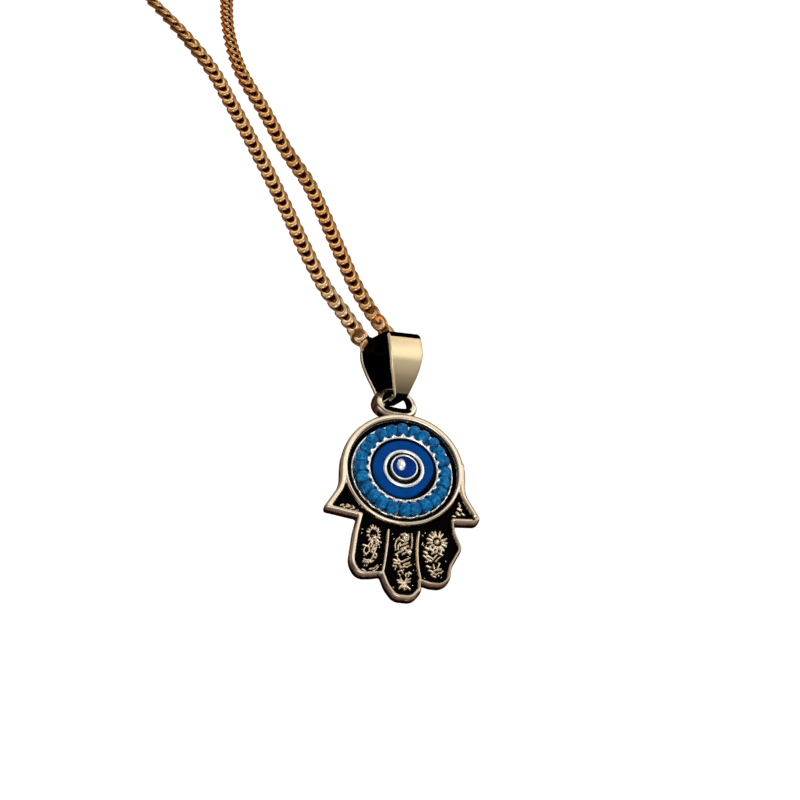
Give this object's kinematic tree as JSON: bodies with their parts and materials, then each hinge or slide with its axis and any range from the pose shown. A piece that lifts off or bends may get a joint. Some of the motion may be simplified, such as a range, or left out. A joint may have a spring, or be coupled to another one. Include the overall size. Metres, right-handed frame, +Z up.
{
  "type": "hamsa pendant",
  "caption": "Cast hamsa hand with a beaded enamel eye, hung by a folded bail on a closed curb chain.",
  "frame": {"origin": "the nape, in the middle of the clasp that closes the chain behind the wearer's neck", "axes": "+Z up, the plumb line through the nape mount; the face of the hand looks along -Y; +X to the viewer's right"},
  "size_m": [0.1019, 0.0622, 0.2133],
  "materials": {
    "antique_gold": "pale gold plate, polished on the ridges, black patina in the hollows",
    "silver": "polished silver plate",
    "black_enamel": "glossy black enamel",
    "blue_enamel": "glossy deep blue enamel",
    "navy_enamel": "glossy navy enamel",
    "bead_glass": "capri blue glass, slightly see-through, glossy",
    "thread": "dark thread, hidden in the beads",
    "chain_gold": "warm gold plate, brown between the links"
  },
  "bodies": {
    "chain": {"chain_left": "chain_gold", "chain_right": "chain_gold", "clasp": "chain_gold"},
    "bail": {"bail": "antique_gold"},
    "hand": {"hand": "antique_gold", "eye_dish": "silver", "eye_black": "black_enamel", "eye_blue": "blue_enamel", "pupil_ring": "silver", "pupil": "navy_enamel", "pupil_rim": "silver", "pupil_ball": "silver", "bead_01": "bead_glass", "bead_02": "bead_glass", "bead_03": "bead_glass", "bead_04": "bead_glass", "bead_05": "bead_glass", "bead_06": "bead_glass", "bead_07": "bead_glass", "bead_08": "bead_glass", "bead_09": "bead_glass", "bead_10": "bead_glass", "bead_11": "bead_glass", "bead_12": "bead_glass", "bead_13": "bead_glass", "bead_14": "bead_glass", "bead_15": "bead_glass", "bead_16": "bead_glass", "bead_17": "bead_glass", "bead_18": "bead_glass", "bead_19": "bead_glass", "bead_20": "bead_glass", "bead_21": "bead_glass", "bead_22": "bead_glass", "bead_23": "bead_glass", "bead_24": "bead_glass", "bead_thread": "thread"}
  },
  "joints": [
    {"name": "bail_swing", "type": "hinge", "parent": "chain", "child": "bail", "pos_m": [0.07044, -0.04651, -0.17246], "axis": [0.8897, 0.4149, 0.1908], "range_deg": [-40, 40]},
    {"name": "hand_swing", "type": "hinge", "parent": "bail", "child": "hand", "pos_m": [0.07102, -0.04462, -0.17835], "axis": [0.9659, 0.2588, 0], "range_deg": [-30, 30]}
  ]
}
